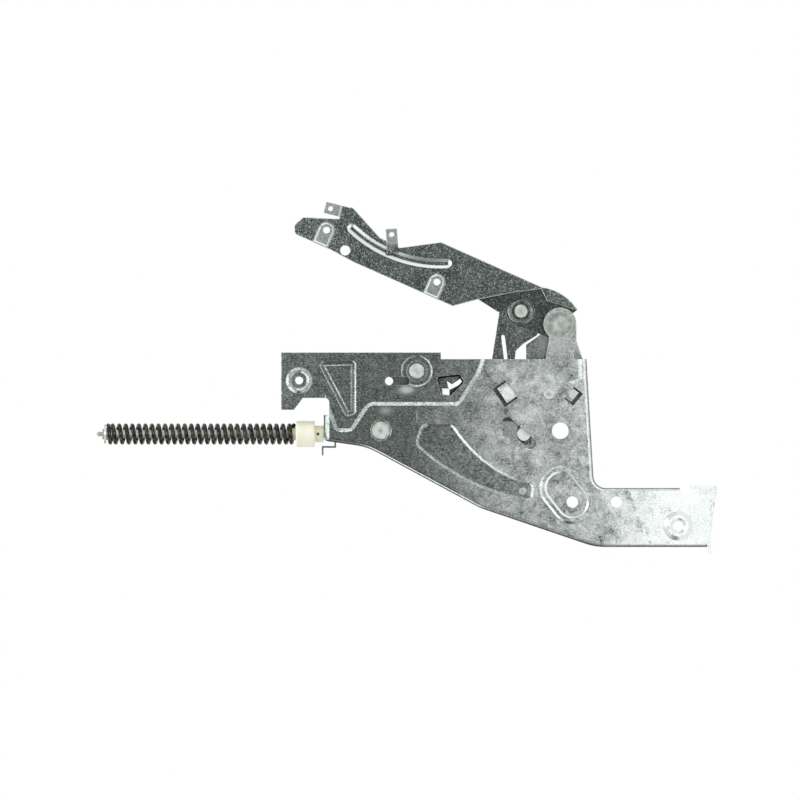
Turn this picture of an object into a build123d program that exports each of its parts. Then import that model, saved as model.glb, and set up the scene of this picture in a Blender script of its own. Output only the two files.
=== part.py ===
from build123d import *
from math import atan2, cos, degrees, hypot, radians, sin
import os

# Door hinge of a dishwasher, shown with the door a little open.
# X points to the front of the machine, Z points up, Y runs through the hinge from its outer side plate.
# The origin is the screw seat in the foot. Depths below count from the outer face of the front plate,
# and each piece is saved with its depth counted from that seat.
# All sizes are millimetres. Points are (X, Z).

# Sheet metal
plate_t = 1.2          # side plates
arm_t = 1.5            # door arm
bend_r = 2.5           # outside radius of folded edges
box_depth = 16.0       # outer face of the front plate to the seat of the rear plate
press_slope = 50       # side slope of pressed forms, degrees from upright
press_rim = 0.5        # extra width of a pressed form on its back
fit = 0.05             # radial play of pins, rivets and bushes
run_gap = 0.2          # side play between flat pieces that move on each other
lever_gap = 0.3        # side play on both sides of the link

# Side plate outline
head_front = 112.8     # front edge of the head, above the arm's gap
head_top = 258.0       # upper end of the head
head_back = 75.5       # back edge of the head
head_step = 154.1      # height where the front edge steps back
box_front = 108.5      # front edge of the box, where the levers come out
box_low_front = 59.7   # lower end of the box at its front
box_low_back = 54.5    # lower end of the box beside the foot
foot_front = 24.7      # front edge of the foot
foot_back = -13.7      # back edge of the foot
foot_end = -25.4       # lower end of the foot at its front
foot_end_back = -19.8  # lower end of the foot at its back
back_low = (foot_back, 54.0)
back_mid = (11.7, 128.7)
back_high = (51.4, 202.2)
seat_back = 55.4       # back edge beside the spring seat
seat_z = 230.4         # upper face of the spring seat
seat_front = 72.2      # front edge of the spring seat
over = 20.0            # how far the blank runs past the cut ends

# Cuts in the side plate outline
neck_notch_z = 226.8   # lower end of the notch between the seat and the head
neck_notch_front = 83.2
neck_notch_top = 243.8
neck_lip_z = 249.6     # where the folded lip of the head starts
neck_r = 3.0
lip_depth = 8.0        # depth of the folded lip and of the head's front flange
foot_notch_top = -1.3  # notch beside the tongue of the foot
foot_notch_low = -7.8
foot_notch_back = 20.2
tongue_front = 26.0
corner_r = 8.0         # inner corner between foot and box
back_r = 40.0          # soft bends of the back edge
end_r = 3.0            # other rounded corners of the outline
stop_nib = (4.0, 1.5)  # nib at the back of the foot's end, length and width
hook_size = (4.6, 5.0, 7.0, 1.2)    # hooked nib beside the seat: reach, drop, rise and width

# Stepped-back head panel
panel_depth = 2.0
panel_back = 78.3
panel_low = 125.5      # lower end at the front edge
panel_knee = (99.5, 128.7)
panel_turn = 141.9     # height where its lower edge turns to the back edge
panel_run = 200.5      # height where its back edge turns to the seat
panel_seat = (61.2, 211.9)
panel_seat_top = (61.0, 222.5)
panel_r = 5.0

# Pressed forms of the front plate
triangle = [(105.5, 232.0), (106.0, 211.0), (74.0, 211.0), (72.8, 215.0)]
triangle_r = 1.2
bead_w = 3.2
bead_depth = 0.9
top_screw = (94.6, 246.3)
top_boss_r = 8.6
top_dish_r = 6.6
top_hole_r = 2.5
boss_height = 1.4      # screw bosses and the oval stand out so far
dish_depth = 0.7       # dish in the top of a boss
boss_slope = 62
head_rivet_at = (100.8, 169.8)
ring_r = 10.2
ring_depth = 0.8
seat_ring_r = 6.7
tear_left = (53.0, 171.0)
tear_corner = (66.5, 167.0)
tear_top = (66.2, 146.0)
tear_upper_mid = (45.5, 128.7)
tear_end_front = (27.0, 93.0)
tear_end_back = (16.0, 95.0)
tear_lower_mid = (25.4, 128.7)
tear_head_r = 6.0
tear_r = 3.5
tear_depth = 1.4
oval_low = (15.6, 68.6)
oval_high = (25.0, 76.0)
oval_r = 14.3
oval_step_r = 10.6
oval_hole_r = 3.7
big_hole = (61.9, 76.5)
big_hole_r = 5.35
foot_hole = (15.6, 40.1)
foot_hole_r = 3.6
foot_boss_r = 9.4
foot_boss_step_r = 5.2
foot_screw_r = 3.1
pocket_depth = 2.0     # the ear is set back so far
pocket = [(103.0, 90.0), (97.5, 82.0), (91.5, 71.0), (94.0, 62.6)]
pocket_r = 3.0

# Openings of the front plate
small_slot = ((94.2, 187.8), (94.2, 177.0))
small_slot_w = 5.2
arc_slot = ((67.2, 111.0), (53.6, 95.8))
arc_slot_w = 7.2
shield_window = [(97.0, 157.0), (98.6, 142.0), (93.6, 138.8), (84.5, 148.0), (85.0, 154.0)]
shield_r = 2.0
shield_lip = 3.0       # bent-in rim that is left round the shield window
shield_flap_at = (83.6, 151.2)
shield_flap = (7.0, 5.4)    # bent-in flap of the shield, length and width
shield_flap_deg = 32.0
rear_window = [(94.2, 150.2), (92.0, 146.9), (96.9, 139.8), (93.6, 138.5), (88.4, 148.9)]
upper_tongue = ((86.0, 112.4), 125.0, (7.5, 11.5))    # middle, direction in degrees, length and width
lower_tongue = ((84.3, 67.8), 231.0, (4.6, 7.6))
tongue_slit = 1.3
tongue_lift = 13.0     # degrees that a lanced tongue stands out

# Main pivot and ears
pivot = (131.3, 76.7)
ear_r = 10.7
ear_neck_half = 7.2    # half width of the neck of the front ear
ear_root_half = 9.8
rear_ear_joggle = 3.0
rear_root_up = 98.8    # upper side of the rear ear's root
rear_shoulder = 117.7  # front end of that root
rear_root_low = 62.0
pivot_r = 2.5
pivot_head_r = 8.4
pivot_head_t = 1.6
pivot_tail_r = 4.5
pivot_tail_t = 1.2
washer_r = 6.0
washer_t = 0.6
sleeve_r = 3.5
sleeve_flange_r = 5.6
sleeve_flange_t = 1.1

# Lever motion: the arm, the link and the crank form a parallelogram
arm_lever = 26.7       # main pivot to link rivet, the same as the crank's long arm
arm_lever_deg = 18.4   # lean of that line from upright towards the front
crank_pivot = (47.9, 94.8)
yoke_arm = 13.0        # crank pivot to yoke pin
yoke_arm_deg = 66.0
yoke_rate = 12.0       # strap travel per radian of the crank
closed_deg = 21.0      # turn from the pose shown to the shut door
open_deg = 69.0        # turn from the pose shown to the open door

# Depths of the moving layers
strap_y = 3.6
strap_t = 1.8
crank_y = 6.9
crank_t = 2.5
link_y = crank_y + crank_t + lever_gap
link_t = 2.5
arm_y = 1.5            # outer face of the arm's long wall

# Door arm outline, in the pose shown
arm_tip = [(199.6, 220.3), (200.8, 243.8), (195.5, 249.5), (190.0, 249.5), (179.6, 226.0), (171.6, 211.2)]
arm_low_end = (142.9, 146.5)
arm_cut = [(147.5, 129.0), (152.0, 106.0), (154.0, 89.0)]
arm_crown = (184.6, 154.0)
arm_waist = (180.9, 181.0)
arm_notch = (187.5, 193.7)
arm_hump = [(207.2, 211.5), (206.8, 217.4)]
arm_corner_r = 2.5
hood_mid = (152.6, 79.0)
hood_end = (140.6, 65.3)
hood_rim = [(146.3, 85.2), (143.9, 77.0), (140.9, 69.0)]    # edge of the wall's tail over the pivot
web_start = (155.3, 88.4)
bracket_low = [(139.1, 117.0), (147.0, 129.5), (158.0, 143.0)]
rivet_boss_r = 10.0
rivet_ring_r = 7.4     # middle of the raised ring round the link rivet
rivet_ring_w = 2.4
rivet_ring_up = 0.7
pad_size = (11.0, 15.6)
pad_height = 1.3       # screw pads stand out so far
arm_edge_r = 0.6       # rounded front edge of the arm's long wall
arm_lean_deg = 24.0    # lean of the arm's lower edge from upright towards the front
arm_screws = [(192.3, 228.5), (158.6, 156.7)]
arm_screw_r = 2.1
arm_peg = (179.1, 216.3)
arm_peg_r = 3.2
rib_start = (193.4, 211.9)
rib_mid = (175.2, 182.0)
rib_end = (170.6, 150.2)
rib_w = 6.2
rib_depth = 1.2
rib_slope = 60
tab_w = 7.5
tab_step = 1.5         # tabs are joggled outwards so far
tab_hole_r = 1.5
tip_tab = ((204.0, 217.0), (207.2, 229.5))
mid_tab = ((181.0, 185.6), (193.2, 186.4))

# Link, crank and strap
link_top = 143.6
link_left_top = 115.5
link_left_low = (64.0, 127.8)
link_right = [(98.0, 107.4), (109.0, 106.0), (114.0, 105.4), (118.5, 100.5), (124.0, 91.5), (133.0, 89.5)]
link_foot_r = 6.6
link_slit = ((123.0, 113.7), (101.0, 111.0))
link_slit_w = 2.2
pin_r = 2.5
pin_head_r = 4.2
pin_head_t = 1.0
crank_hub_r = 7.5
crank_end_r = 6.4
crank_yoke_r = 5.6
stud_r = 3.0
stud_shoulder_r = 4.6
stud_tail_r = 2.5
stud_tail_t = 0.8
yoke_pin_r = 2.0
yoke_bush_r = 4.0
yoke_head_r = 4.4
yoke_head_t = 1.2
yoke_wall = 3.0
guide_at = (62.1, 193.1)
guide_r = 3.0
guide_play = 0.5
guide_head_r = 5.8
guide_head_t = 0.7
strap_w = 12.0
strap_end_r = 4.2
strap_rivet_drop = 13.9  # seat down to the strap rivet
strap_rivet_r = 2.0
strap_rivet_head_r = 3.2

# Spacer rivets between the side plates
spacer_r = 3.4
spacer_end_r = 3.2
spacer_tail_r = 2.2
upper_spacer = (85.8, 83.9)
lower_spacer = (22.8, 100.8)
head_rivet_r = 4.95
head_rivet_spacer_r = 4.0
rivet_tail_t = 0.9

# Spring, rod and bush
rod_x = 59.8
rod_y = 8.6
rod_r = 2.75
rod_play = 0.35
rod_drop = 10.1        # seat down to the lower end of the round part of the rod
rod_tongue_t = 2.5
rod_tongue_half = 3.8
rod_tongue_r = 4.0
rod_peen_r = 3.4
rod_peen_t = 1.2
rod_nub_r = 1.6
rod_nub_neck_r = 1.3
rod_nub_up = 4.4       # top of the spring up to the middle of the nub
bush_neck = 5.6        # length of the bush below its wide body
bush_body = 12.3
bush_r = 8.45
bush_neck_r = 5.4
bush_spigot_r = 3.9
bush_spigot = 4.0
bush_dot_r = 0.9
bush_dot_up = 3.6      # seat up to the small hole in the bush
spring_length = 123.5
wire_d = 2.7
spring_od = 14.0
active_coils = 27
end_coils = 1
coil_gap = 0.12        # gap between the closed end coils
retainer_r = 6.2
retainer_t = 1.2
retainer_hub_r = 3.9
retainer_hub = 4.0


# Small helpers: flat shapes are drawn in the side view and given their depth

def at(point, shape):
    return Pos(*point) * shape


def outline(*points):
    return make_face(Polyline(*points, close=True))


def rounded(shape, radius):
    return fillet(shape.vertices(), radius)


def round_corners(shape, corners, radius):
    """Round the given corners of a face."""
    for corner in corners:
        vertex = shape.vertices().sort_by_distance((*corner, 0))[0]
        shape = fillet(vertex, radius)
    return shape


def sheet(shape, y_front, y_back, slope=0):
    placed = Plane.XZ.offset(-y_front) * shape
    return extrude(placed, amount=y_back - y_front, dir=(0, 1, 0), taper=slope)


def disc(point, radius, y_front, y_back):
    return sheet(at(point, Circle(radius)), y_front, y_back)


def slot(ends, width):
    (x1, z1), (x2, z2) = ends
    middle = ((x1 + x2) / 2, (z1 + z2) / 2)
    turn = degrees(atan2(z2 - z1, x2 - x1))
    return at(middle, Rot(0, 0, turn) * SlotCenterToCenter(hypot(x2 - x1, z2 - z1), width))


def polar(centre, radius, lean_deg):
    lean = radians(lean_deg)
    return (centre[0] + radius * sin(lean), centre[1] + radius * cos(lean))


def emboss(wall, shape, y_front, thickness, depth, block=None, slope=press_slope):
    """Press a shape into a sheet: a bump on its back, kept in the block, and a hollow in its front."""
    back = sheet(offset(shape, press_rim), y_front + thickness, y_front + thickness + depth, slope)
    if block:
        back &= block
    return wall + back - sheet(shape, y_front, y_front + depth, slope)


def boss(wall, shape, y_front, thickness, height, slope=press_slope):
    """Press a shape out of a sheet: a boss on its front and a hollow in its back."""
    y_back = y_front + thickness
    hollow = sheet(offset(shape, -press_rim), y_back, y_back - height, slope)
    return wall + sheet(shape, y_front, y_front - height, slope) - hollow


def tangent_hull(*circles):
    return make_hull([edge for circle in circles for edge in circle.edges()])


def save(part, node):
    export_step(Pos(0, -screw_seat_y, 0) * part, f"parts/{node}.step")


# Places that follow from the lever motion

arm_rivet = polar(pivot, arm_lever, arm_lever_deg)
crank_pin = polar(crank_pivot, arm_lever, arm_lever_deg)
yoke_pin = polar(crank_pivot, yoke_arm, yoke_arm_deg)
strap_up = yoke_rate * radians(closed_deg)
strap_down = yoke_rate * radians(open_deg)
panel_inner = panel_depth + plate_t
ear_y = pocket_depth
ear_inner = ear_y + plate_t
rear_ear_y = box_depth - rear_ear_joggle
bracket_y = link_y - lever_gap - arm_t
strap_back = strap_y + strap_t
link_back = link_y + link_t
screw_seat_y = dish_depth - boss_height + plate_t / 2
strap_rivet_z = seat_z - strap_rivet_drop
rod_low = seat_z - rod_drop
bush_neck_z = seat_z + bush_neck
bush_top = bush_neck_z + bush_body
bush_dot_z = seat_z + bush_dot_up
spring_top = bush_top + spring_length
rod_nub_z = spring_top + rod_nub_up


# Side plates

def blank():
    """Outline of the folded blank, with the cut ends running past."""
    corners = [
        (head_front, head_top + over),
        (head_front, box_low_front),
        (foot_front, box_low_back),
        (foot_front, foot_end - over),
        (foot_back, foot_end - over),
        back_low,
        back_mid,
        back_high,
        (seat_back, seat_z),
        (head_back, seat_z),
        (head_back, head_top + over),
    ]
    face = outline(*corners)
    radii = {1: end_r, 2: corner_r, 5: back_r, 6: back_r, 7: back_r, 8: end_r, 9: bend_r + fit}
    for index, radius in radii.items():
        x, z = corners[index]
        vertex = face.vertices().sort_by_distance((x, z, 0))[0]
        face = fillet(vertex, radius)
    return face


def end_cuts(y_front, y_back):
    """Material that is cut away from the blank: front gap, head end, notch and foot end."""
    gap = outline(
        (box_front, head_step),
        (head_front + over, head_step),
        (head_front + over, foot_end - over),
        (box_front, foot_end - over),
    )
    end = outline(
        (head_front + over, head_top),
        (head_back - over, head_top),
        (head_back - over, head_top + 2 * over),
        (head_front + over, head_top + 2 * over),
    )
    notch = outline(
        (seat_front, neck_notch_z),
        (neck_notch_front, neck_notch_z),
        (neck_notch_front, neck_notch_top),
        (head_back, neck_lip_z),
        (seat_front - neck_r, neck_lip_z),
        (seat_front - neck_r, seat_z),
        (seat_front, seat_z),
    )
    corner = notch.vertices().sort_by_distance((neck_notch_front, neck_notch_z, 0))[0]
    notch = fillet(corner, neck_r)
    foot = outline(
        (tongue_front + over, foot_end),
        (foot_front, foot_end),
        (foot_back, foot_end_back),
        (foot_back - over, foot_end_back),
        (foot_back - over, foot_end - 2 * over),
        (tongue_front + over, foot_end - 2 * over),
    )
    side = outline(
        (foot_notch_back, foot_notch_top),
        (tongue_front, foot_notch_top),
        (tongue_front, foot_notch_low),
        (foot_notch_back, foot_notch_low),
    )
    cuts = [sheet(shape, y_front, y_back) for shape in (gap, end, notch, foot, side)]
    return cuts


def foot_tongue(y_front):
    flat = outline(
        (foot_notch_back - bend_r, foot_notch_low),
        (tongue_front, foot_notch_low),
        (tongue_front, foot_end),
        (foot_notch_back - bend_r, foot_end),
    )
    return sheet(flat, y_front, y_front + plate_t)


def foot_nib():
    """Small stop nib at the back of the foot's end."""
    length, width = stop_nib
    root = foot_back + bend_r + plate_t
    shape = outline(
        (root, foot_end_back + width),
        (foot_back - length, foot_end_back),
        (foot_back - length, foot_end_back - width),
        (root, foot_end_back - width),
    )
    return sheet(shape, 0, plate_t)


def seat_hook():
    """Hooked nib of the rear plate beside the spring seat."""
    reach, drop, rise, width = hook_size
    x = seat_back - reach
    z = seat_z - rise
    shape = outline(
        (seat_back + width, z - width),
        (x, z - width),
        (x, seat_z),
        (x - drop, seat_z),
        (x - drop, seat_z + width),
        (x + width, seat_z + width),
        (x + width, z),
        (seat_back + width, z),
    )
    return sheet(shape, box_depth, box_depth + plate_t)


def front_ear():
    x, z = pivot
    root = box_front - bend_r
    neck = outline(
        (x, z + ear_neck_half),
        (x - ear_r, z + ear_neck_half),
        (root, z + ear_root_half),
        (root, z - ear_root_half),
        (x - ear_r, z - ear_neck_half),
        (x, z - ear_neck_half),
    )
    shape = neck + at(pivot, Circle(ear_r))
    return sheet(shape, ear_y, ear_inner)


def lanced_tongue(wall, place):
    """Cut the U-shaped slit of a tongue and stand the tongue out of the plate."""
    point, turn, (length, width) = place
    spot = Plane.XZ * Pos(*point) * Rot(0, 0, turn)
    window = spot * Rectangle(length + 2 * tongue_slit, width + 2 * tongue_slit)
    wall -= extrude(window, amount=plate_t, dir=(0, 1, 0))
    hinge = spot * Pos(-length / 2 - tongue_slit, 0) * Rot(0, -tongue_lift, 0)
    blade = hinge * Pos(length / 2 - press_rim, 0, -plate_t / 2) * Box(length + tongue_slit, width, plate_t)
    return wall + blade


def shield(wall):
    window = rounded(outline(*shield_window), shield_r)
    rim = sheet(offset(window, shield_lip / 2), panel_inner, panel_inner + shield_lip / 2, press_slope)
    wall = wall + rim - sheet(window, panel_depth, panel_inner + shield_lip, press_slope / 2)
    length, width = shield_flap
    hinge = Plane.XZ.offset(-panel_depth) * Pos(*shield_flap_at) * Rot(0, shield_flap_deg, 0)
    return wall + hinge * Pos(length / 2, 0, -plate_t / 2) * Box(length, width, plate_t)


def front_side_plate():
    face = blank()
    block = sheet(face, 0, box_depth)
    block = fillet(block.faces().sort_by(Axis.Y)[0].edges(), bend_r)
    room = sheet(offset(face, -plate_t, kind=Kind.INTERSECTION), plate_t, box_depth)
    room = fillet(room.faces().sort_by(Axis.Y)[0].edges(), bend_r - plate_t)
    wall = block - room

    panel = outline(
        (head_front + over, panel_low),
        (box_front, panel_low),
        panel_knee,
        (panel_back, panel_turn),
        (panel_back, panel_run),
        panel_seat,
        panel_seat_top,
        (seat_front, neck_notch_z),
        (head_back - over, neck_notch_z),
        (head_back - over, head_top + over),
        (head_front + over, head_top + over),
    )
    turns = [panel_knee, (panel_back, panel_turn), (panel_back, panel_run), panel_seat, panel_seat_top]
    wall = emboss(wall, round_corners(panel, turns, panel_r), 0, plate_t, panel_depth, block)

    ear_root = outline(
        (head_front + over, pocket[0][1]),
        *pocket,
        (head_front + over, pocket[-1][1]),
    )
    wall = emboss(wall, rounded(ear_root, pocket_r), 0, plate_t, pocket_depth, block)

    bead = rounded(outline(*triangle), triangle_r)
    bead = offset(bead, bead_w / 2) - offset(bead, -bead_w / 2)
    wall = emboss(wall, bead, panel_depth, plate_t, bead_depth)
    wall = boss(wall, at(top_screw, Circle(top_boss_r)), panel_depth, plate_t, boss_height)
    wall = emboss(wall, at(top_screw, Circle(top_dish_r)), panel_depth - boss_height, plate_t, boss_height)
    wall = emboss(wall, at(head_rivet_at, Circle(ring_r)), panel_depth, plate_t, ring_depth)
    wall = emboss(wall, at(head_rivet_at, Circle(seat_ring_r)), panel_depth + ring_depth, plate_t, ring_depth)

    tear = make_face(
        [
            Line(tear_left, tear_corner),
            Line(tear_corner, tear_top),
            ThreePointArc(tear_top, tear_upper_mid, tear_end_front),
            Line(tear_end_front, tear_end_back),
            ThreePointArc(tear_end_back, tear_lower_mid, tear_left),
        ]
    )
    tear = round_corners(tear, [tear_left, tear_corner, tear_top], tear_head_r)
    tear = round_corners(tear, [tear_end_front, tear_end_back], tear_r)
    wall = emboss(wall, tear, 0, plate_t, tear_depth)

    oval = [slot((oval_low, oval_high), 2 * radius) for radius in (oval_r, oval_step_r)]
    foot_boss = [at((0, 0), Circle(radius)) for radius in (foot_boss_r, foot_boss_step_r)]
    for (outer, inner), slope in ((oval, press_slope), (foot_boss, boss_slope)):
        wall = boss(wall, outer, 0, plate_t, boss_height, slope)
        wall = emboss(wall, inner, -boss_height, plate_t, dish_depth, slope=boss_slope)
    wall = emboss(wall, at(guide_at, Circle(guide_head_r + 2 * press_rim)), 0, plate_t, guide_head_t)

    wall += foot_tongue(0)
    for cut in end_cuts(0, box_depth):
        wall -= cut
    wall += front_ear() + foot_nib()
    return pierced_front(wall)


def pierced_front(wall):
    """Holes, slots and lanced forms of the front plate, and the ends of its flanges."""
    deep = box_depth / 2
    holes = [
        (top_screw, top_hole_r),
        (head_rivet_at, pin_r + fit),
        (guide_at, pin_r + fit),
        (upper_spacer, spacer_end_r + fit),
        (lower_spacer, spacer_tail_r + fit),
        (oval_low, oval_hole_r),
        (big_hole, big_hole_r),
        (foot_hole, foot_hole_r),
        ((0, 0), foot_screw_r),
        (pivot, pivot_r + fit),
    ]
    for point, radius in holes:
        wall -= disc(point, radius, -boss_height - plate_t, deep)
    wall -= sheet(slot(small_slot, small_slot_w), 0, deep)
    wall -= sheet(slot(arc_slot, arc_slot_w), 0, deep)
    wall = shield(wall)
    wall = lanced_tongue(wall, upper_tongue)
    wall = lanced_tongue(wall, lower_tongue)

    rod_hole = Pos(rod_x, rod_y, seat_z) * Cylinder(rod_r + rod_play, 4 * bend_r)
    lip = outline(
        (head_back - over, neck_notch_z),
        (neck_notch_front, neck_notch_z),
        (neck_notch_front, head_top),
        (head_back - over, head_top),
    )
    lip -= outline(
        (seat_back - over, foot_end),
        (seat_front, foot_end),
        (seat_front, seat_z + plate_t),
        (seat_back - over, seat_z + plate_t),
    )
    return wall - rod_hole - sheet(lip, lip_depth, box_depth)


def rear_side_plate():
    """Flat closing plate with the rear ear joggled towards the arm."""
    y = box_depth
    wall = sheet(blank(), y, y + plate_t) + foot_tongue(y)
    for cut in end_cuts(y, y + plate_t):
        wall -= cut
    wall += seat_hook()
    x, z = pivot
    root = box_front - 2 * rear_ear_joggle
    root_face = outline(
        (root, rear_root_up),
        (root, rear_root_low),
        (head_front, rear_root_low),
        (head_front, rear_root_up),
    )
    wall -= sheet(root_face, y, y + plate_t)
    profile = Polyline(
        (root - rear_ear_joggle, y),
        (root, y),
        (root + rear_ear_joggle, rear_ear_y),
        (x + ear_r, rear_ear_y),
        (x + ear_r, rear_ear_y + plate_t),
        (root + rear_ear_joggle, rear_ear_y + plate_t),
        (root, y + plate_t),
        (root - rear_ear_joggle, y + plate_t),
        close=True,
    )
    strip = Pos(0, 0, rear_root_low) * extrude(make_face(profile), rear_root_up - rear_root_low)
    shape = outline(
        (root - over, rear_root_up),
        (rear_shoulder, rear_root_up),
        (x - ear_r / 2, z + ear_r),
        (x, z + ear_r),
        (x, z - ear_r),
        (x - ear_r, z - ear_r),
        (box_front, rear_root_low),
        (root - over, rear_root_low),
    )
    shape += at(pivot, Circle(ear_r))
    wall += strip & sheet(shape, rear_ear_y - plate_t, y + 2 * plate_t)
    holes = [
        (top_screw, top_hole_r),
        (head_rivet_at, pin_r + fit),
        (guide_at, pin_r + fit),
        (upper_spacer, spacer_tail_r + fit),
        (lower_spacer, spacer_tail_r + fit),
        (oval_low, oval_hole_r),
        (big_hole, big_hole_r),
        (foot_hole, foot_hole_r),
        ((0, 0), foot_screw_r),
        (pivot, pivot_r + fit),
        (crank_pivot, stud_tail_r + fit),
        (small_slot[0], small_slot_w / 2),
    ]
    for point, radius in holes:
        wall -= disc(point, radius, rear_ear_y - plate_t, y + 2 * plate_t)
    return wall - sheet(outline(*rear_window), y, y + plate_t)


# Pins and rivets that stay with the side plates

def turned(point, steps):
    """A turned pin from (radius, front, back) steps along its depth."""
    pin = disc(point, *steps[0])
    for step in steps[1:]:
        pin += disc(point, *step)
    return pin


def main_pivot_pin():
    head = (pivot_head_r, ear_y - pivot_head_t, ear_y)
    tail_y = rear_ear_y + plate_t
    pin = turned(pivot, [head, (pivot_r, ear_y, tail_y), (pivot_tail_r, tail_y, tail_y + pivot_tail_t)])
    rim = pin.edges().filter_by(GeomType.CIRCLE).sort_by(Axis.Y)[0]
    return fillet(rim, pivot_head_t / 3)


def pivot_washers():
    ring = Circle(washer_r) - Circle(pivot_r + fit)
    front = sheet(at(pivot, ring), ear_inner, ear_inner + washer_t)
    rear = sheet(at(pivot, ring), rear_ear_y - washer_t, rear_ear_y)
    return Compound([front, rear])


def spacer_rivet(point, face_y, front_r):
    back = box_depth + plate_t
    steps = [
        (front_r, face_y, face_y + plate_t),
        (spacer_r, face_y + plate_t, box_depth),
        (spacer_tail_r, box_depth, back),
        (spacer_r, back, back + rivet_tail_t),
    ]
    return turned(point, steps)


def headed_rivet(point, seat_y, head_r, head_t, spacer_radius):
    back = box_depth + plate_t
    steps = [
        (head_r, seat_y - head_t, seat_y),
        (pin_r, seat_y, seat_y + plate_t),
        (spacer_radius, seat_y + plate_t, box_depth),
        (pin_r, box_depth, back),
        (pin_head_r, back, back + rivet_tail_t),
    ]
    rivet = turned(point, steps)
    rim = rivet.edges().filter_by(GeomType.CIRCLE).sort_by(Axis.Y)[0]
    return fillet(rim, head_t / 3)


def crank_stud():
    back = box_depth + plate_t
    crank_back = crank_y + crank_t
    steps = [
        (pin_head_r, crank_y - run_gap - pin_head_t, crank_y - run_gap),
        (stud_r, crank_y - run_gap, crank_back + run_gap),
        (stud_shoulder_r, crank_back + run_gap, box_depth),
        (stud_tail_r, box_depth, back),
        (stud_shoulder_r, back, back + stud_tail_t),
    ]
    return turned(crank_pivot, steps)


# Door arm and what rides on it

def arm_wall():
    lean = Rot(0, 0, -arm_lean_deg)
    shape = make_face(
        [
            Polyline(web_start, arm_crown, arm_waist, arm_notch, *arm_hump, *arm_tip),
            Polyline(arm_tip[-1], arm_low_end, *arm_cut, *hood_rim, hood_end),
            ThreePointArc(hood_end, hood_mid, web_start),
        ]
    )
    shape = round_corners(shape, [*arm_tip[1:4], arm_crown, *arm_hump], arm_corner_r)
    wall = sheet(shape, arm_y, arm_y + arm_t)
    wall = fillet(wall.faces().sort_by(Axis.Y)[0].edges(), arm_edge_r)
    width, height = pad_size
    for point in arm_screws:
        round_end = at(point, Circle(width / 2))
        tail = at(point, lean * Pos(-height / 2, 0) * Rectangle(height, width))
        pad = (round_end + tail) & shape
        wall = boss(wall, pad, arm_y, arm_t, pad_height)
    rib = SlotArc(ThreePointArc(rib_start, rib_mid, rib_end), rib_w)
    wall = emboss(wall, rib, arm_y, arm_t, rib_depth, slope=rib_slope)
    return wall & sheet(offset(shape, press_rim / 10), arm_y - arm_t, arm_y + 3 * arm_t)


def arm_tab(ends):
    """A strip that is joggled outwards and ends in an eye."""
    (x1, z1), (x2, z2) = ends
    length = hypot(x2 - x1, z2 - z1)
    turn = degrees(atan2(z2 - z1, x2 - x1))
    y = arm_y
    profile = Polyline(
        (-tab_w / 2, y),
        (tab_step, y),
        (2 * tab_step, y - tab_step),
        (length, y - tab_step),
        (length, y - tab_step + arm_t),
        (2 * tab_step, y - tab_step + arm_t),
        (tab_step, y + arm_t),
        (-tab_w / 2, y + arm_t),
        close=True,
    )
    strip = Pos(0, 0, -tab_w / 2) * extrude(make_face(profile), tab_w)
    eye = (length - tab_w / 2, 0)
    strip -= disc(eye, tab_hole_r, y - 2 * tab_step, y + arm_t)
    return Pos(x1, 0, z1) * Rot(0, -turn, 0) * strip


def arm_bracket():
    """Rear wall of the arm round both pivots, and the web that folds it to the long wall."""
    side = make_face(
        [
            Line(arm_crown, web_start),
            ThreePointArc(web_start, hood_mid, hood_end),
            Polyline(hood_end, pivot, arm_rivet, *bracket_low, arm_crown),
        ]
    )
    run = (web_start[0] - arm_crown[0], web_start[1] - arm_crown[1])
    length = hypot(*run)
    inwards = (run[1] / length * arm_t, -run[0] / length * arm_t)
    web = side - Pos(*inwards) * side
    shape = side + tangent_hull(at(pivot, Circle(ear_r)), at(arm_rivet, Circle(rivet_boss_r)))
    wall = sheet(shape, bracket_y, bracket_y + arm_t) + sheet(web, arm_y + arm_edge_r, bracket_y + arm_t)
    ring = Circle(rivet_ring_r + rivet_ring_w / 2) - Circle(rivet_ring_r - rivet_ring_w / 2)
    wall += sheet(at(arm_rivet, ring), bracket_y, bracket_y - rivet_ring_up, press_slope)
    groove = Circle(rivet_ring_r + rivet_ring_up / 2) - Circle(rivet_ring_r - rivet_ring_up / 2)
    wall -= sheet(at(arm_rivet, groove), bracket_y + arm_t - rivet_ring_up, bracket_y + arm_t)
    wall -= disc(pivot, sleeve_r + fit, bracket_y, bracket_y + arm_t)
    return wall - disc(arm_rivet, pin_r + fit, bracket_y, bracket_y + arm_t)


def door_arm():
    arm = arm_wall() + arm_bracket()
    arm += arm_tab(tip_tab) + arm_tab(mid_tab)
    for point in arm_screws:
        arm -= disc(point, arm_screw_r, arm_y - pad_height - arm_t, bracket_y)
    return arm - disc(arm_peg, arm_peg_r, 0, bracket_y)


def arm_sleeve():
    front = ear_inner + washer_t + run_gap / 2
    back = rear_ear_y - washer_t - run_gap / 2
    steps = [(sleeve_r, front, back), (sleeve_flange_r, bracket_y - sleeve_flange_t, bracket_y)]
    return turned(pivot, steps) - disc(pivot, pivot_r + fit, front, back)


def link_rivet():
    steps = [
        (pin_head_r, bracket_y - pin_head_t, bracket_y),
        (pin_r, bracket_y, link_back + run_gap),
        (pin_head_r, link_back + run_gap, link_back + run_gap + pin_head_t),
    ]
    return turned(arm_rivet, steps)


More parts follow.
